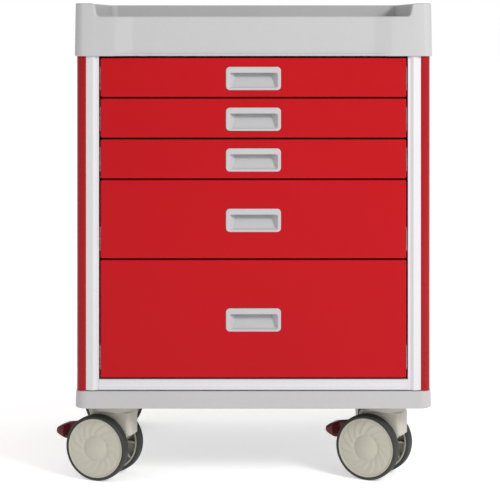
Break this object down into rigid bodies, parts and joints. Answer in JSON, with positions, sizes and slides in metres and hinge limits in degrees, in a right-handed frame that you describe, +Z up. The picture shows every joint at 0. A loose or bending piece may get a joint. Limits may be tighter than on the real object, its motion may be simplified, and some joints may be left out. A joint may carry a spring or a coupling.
{
  "type": "crash cart",
  "caption": "Hospital crash cart: cabinet of sliding drawers with recessed pulls, raised-rim top tray and twin-wheel swivel casters with brake pedals.",
  "frame": {"origin": "on the floor under the middle of the cabinet, the middle of the four swivel axes", "axes": "+X to the right of a person facing the drawers, -Y towards that person, +Z up"},
  "size_m": [0.7256, 0.5765, 0.913],
  "materials": {
    "grey_moulding": "fine moulded texture, satin",
    "red_panel": "gloss powder coat",
    "red_front": "semi-gloss paint",
    "white_profile": "white coated extrusion, satin",
    "zinc_sheet": "zinc plated, dull",
    "slide_steel": "bright zinc",
    "screw_steel": "zinc plated",
    "drawer_sheet": "light grey powder coat",
    "pull_plastic": "satin moulded plastic",
    "caster_housing": "satin moulded nylon",
    "wheel_core": "satin moulded nylon",
    "tyre_rubber": "dark grey rubber",
    "brake_pedal": "dark red moulded plastic"
  },
  "bodies": {
    "cabinet": {"top_tray": "grey_moulding", "top_deck": "zinc_sheet", "left_side_panel": "red_panel", "right_side_panel": "red_panel", "back_panel": "red_panel", "front_posts": "white_profile", "rear_posts": "white_profile", "bottom_rail": "white_profile", "cabinet_floor": "zinc_sheet", "base_tray": "grey_moulding", "slide_channels": "slide_steel", "caster_heads": "zinc_sheet", "screws": "screw_steel"},
    "drawer_1": {"drawer_1_front": "red_front", "drawer_1_box": "drawer_sheet", "drawer_1_pull": "pull_plastic", "drawer_1_slides": "slide_steel"},
    "slide_1": {"slide_1_middle": "slide_steel"},
    "drawer_2": {"drawer_2_front": "red_front", "drawer_2_box": "drawer_sheet", "drawer_2_pull": "pull_plastic", "drawer_2_slides": "slide_steel"},
    "slide_2": {"slide_2_middle": "slide_steel"},
    "drawer_3": {"drawer_3_front": "red_front", "drawer_3_box": "drawer_sheet", "drawer_3_pull": "pull_plastic", "drawer_3_slides": "slide_steel"},
    "slide_3": {"slide_3_middle": "slide_steel"},
    "drawer_4": {"drawer_4_front": "red_front", "drawer_4_box": "drawer_sheet", "drawer_4_pull": "pull_plastic", "drawer_4_slides": "slide_steel"},
    "slide_4": {"slide_4_middle": "slide_steel"},
    "drawer_5": {"drawer_5_front": "red_front", "drawer_5_box": "drawer_sheet", "drawer_5_pull": "pull_plastic", "drawer_5_slides": "slide_steel"},
    "slide_5": {"slide_5_middle": "slide_steel"},
    "front_left_caster": {"front_left_fork": "caster_housing"},
    "front_left_wheel_a": {"front_left_wheel_a": "wheel_core", "front_left_tyre_a": "tyre_rubber"},
    "front_left_wheel_b": {"front_left_wheel_b": "wheel_core", "front_left_tyre_b": "tyre_rubber"},
    "front_left_pedal": {"front_left_pedal": "brake_pedal"},
    "front_right_caster": {"front_right_fork": "caster_housing"},
    "front_right_wheel_a": {"front_right_wheel_a": "wheel_core", "front_right_tyre_a": "tyre_rubber"},
    "front_right_wheel_b": {"front_right_wheel_b": "wheel_core", "front_right_tyre_b": "tyre_rubber"},
    "front_right_pedal": {"front_right_pedal": "brake_pedal"},
    "rear_left_caster": {"rear_left_fork": "caster_housing"},
    "rear_left_wheel_a": {"rear_left_wheel_a": "wheel_core", "rear_left_tyre_a": "tyre_rubber"},
    "rear_left_wheel_b": {"rear_left_wheel_b": "wheel_core", "rear_left_tyre_b": "tyre_rubber"},
    "rear_right_caster": {"rear_right_fork": "caster_housing"},
    "rear_right_wheel_a": {"rear_right_wheel_a": "wheel_core", "rear_right_tyre_a": "tyre_rubber"},
    "rear_right_wheel_b": {"rear_right_wheel_b": "wheel_core", "rear_right_tyre_b": "tyre_rubber"}
  },
  "joints": [
    {"name": "drawer_1_travel", "type": "slide", "parent": "cabinet", "child": "drawer_1", "axis": [0, -1, 0], "range_m": [0, 0.42]},
    {"name": "slide_1_travel", "type": "slide", "parent": "cabinet", "child": "slide_1", "axis": [0, -1, 0], "range_m": [0, 0.21]},
    {"name": "drawer_2_travel", "type": "slide", "parent": "cabinet", "child": "drawer_2", "axis": [0, -1, 0], "range_m": [0, 0.42]},
    {"name": "slide_2_travel", "type": "slide", "parent": "cabinet", "child": "slide_2", "axis": [0, -1, 0], "range_m": [0, 0.21]},
    {"name": "drawer_3_travel", "type": "slide", "parent": "cabinet", "child": "drawer_3", "axis": [0, -1, 0], "range_m": [0, 0.42]},
    {"name": "slide_3_travel", "type": "slide", "parent": "cabinet", "child": "slide_3", "axis": [0, -1, 0], "range_m": [0, 0.21]},
    {"name": "drawer_4_travel", "type": "slide", "parent": "cabinet", "child": "drawer_4", "axis": [0, -1, 0], "range_m": [0, 0.42]},
    {"name": "slide_4_travel", "type": "slide", "parent": "cabinet", "child": "slide_4", "axis": [0, -1, 0], "range_m": [0, 0.21]},
    {"name": "drawer_5_travel", "type": "slide", "parent": "cabinet", "child": "drawer_5", "axis": [0, -1, 0], "range_m": [0, 0.42]},
    {"name": "slide_5_travel", "type": "slide", "parent": "cabinet", "child": "slide_5", "axis": [0, -1, 0], "range_m": [0, 0.21]},
    {"name": "front_left_swivel", "type": "hinge", "parent": "cabinet", "child": "front_left_caster", "pos_m": [-0.26, -0.205, 0.132], "axis": [0, 0, 1], "continuous": true},
    {"name": "front_left_roll_a", "type": "hinge", "parent": "front_left_caster", "child": "front_left_wheel_a", "pos_m": [-0.29911, -0.22662, 0.0625], "axis": [0.3518, 0.9361, 0], "continuous": true},
    {"name": "front_left_roll_b", "type": "hinge", "parent": "front_left_caster", "child": "front_left_wheel_b", "pos_m": [-0.27518, -0.16297, 0.0625], "axis": [0.3518, 0.9361, 0], "continuous": true},
    {"name": "front_left_brake", "type": "hinge", "parent": "front_left_caster", "child": "front_left_pedal", "pos_m": [-0.26562, -0.20289, 0.104], "axis": [-0.3518, -0.9361, 0], "range_deg": [0, 10]},
    {"name": "front_right_swivel", "type": "hinge", "parent": "cabinet", "child": "front_right_caster", "pos_m": [0.26, -0.205, 0.132], "axis": [0, 0, 1], "continuous": true},
    {"name": "front_right_roll_a", "type": "hinge", "parent": "front_right_caster", "child": "front_right_wheel_a", "pos_m": [0.21885, -0.22242, 0.0625], "axis": [0.4478, 0.8942, 0], "continuous": true},
    {"name": "front_right_roll_b", "type": "hinge", "parent": "front_right_caster", "child": "front_right_wheel_b", "pos_m": [0.24929, -0.16161, 0.0625], "axis": [0.4478, 0.8942, 0], "continuous": true},
    {"name": "front_right_brake", "type": "hinge", "parent": "front_right_caster", "child": "front_right_pedal", "pos_m": [0.25464, -0.20231, 0.104], "axis": [-0.4478, -0.8942, 0], "range_deg": [0, 10]},
    {"name": "rear_left_swivel", "type": "hinge", "parent": "cabinet", "child": "rear_left_caster", "pos_m": [-0.27, 0.205, 0.132], "axis": [0, 0, 1], "continuous": true},
    {"name": "rear_left_roll_a", "type": "hinge", "parent": "rear_left_caster", "child": "rear_left_wheel_a", "pos_m": [-0.299, 0.171, 0.0625], "axis": [0, 1, 0], "continuous": true},
    {"name": "rear_left_roll_b", "type": "hinge", "parent": "rear_left_caster", "child": "rear_left_wheel_b", "pos_m": [-0.299, 0.239, 0.0625], "axis": [0, 1, 0], "continuous": true},
    {"name": "rear_right_swivel", "type": "hinge", "parent": "cabinet", "child": "rear_right_caster", "pos_m": [0.27, 0.205, 0.132], "axis": [0, 0, 1], "continuous": true},
    {"name": "rear_right_roll_a", "type": "hinge", "parent": "rear_right_caster", "child": "rear_right_wheel_a", "pos_m": [0.236, 0.234, 0.0625], "axis": [1, 0, 0], "continuous": true},
    {"name": "rear_right_roll_b", "type": "hinge", "parent": "rear_right_caster", "child": "rear_right_wheel_b", "pos_m": [0.304, 0.234, 0.0625], "axis": [1, 0, 0], "continuous": true}
  ],
  "couplings": [
    {"joint": "slide_1_travel", "follows": "drawer_1_travel", "ratio": 0.5},
    {"joint": "slide_2_travel", "follows": "drawer_2_travel", "ratio": 0.5},
    {"joint": "slide_3_travel", "follows": "drawer_3_travel", "ratio": 0.5},
    {"joint": "slide_4_travel", "follows": "drawer_4_travel", "ratio": 0.5},
    {"joint": "slide_5_travel", "follows": "drawer_5_travel", "ratio": 0.5}
  ]
}
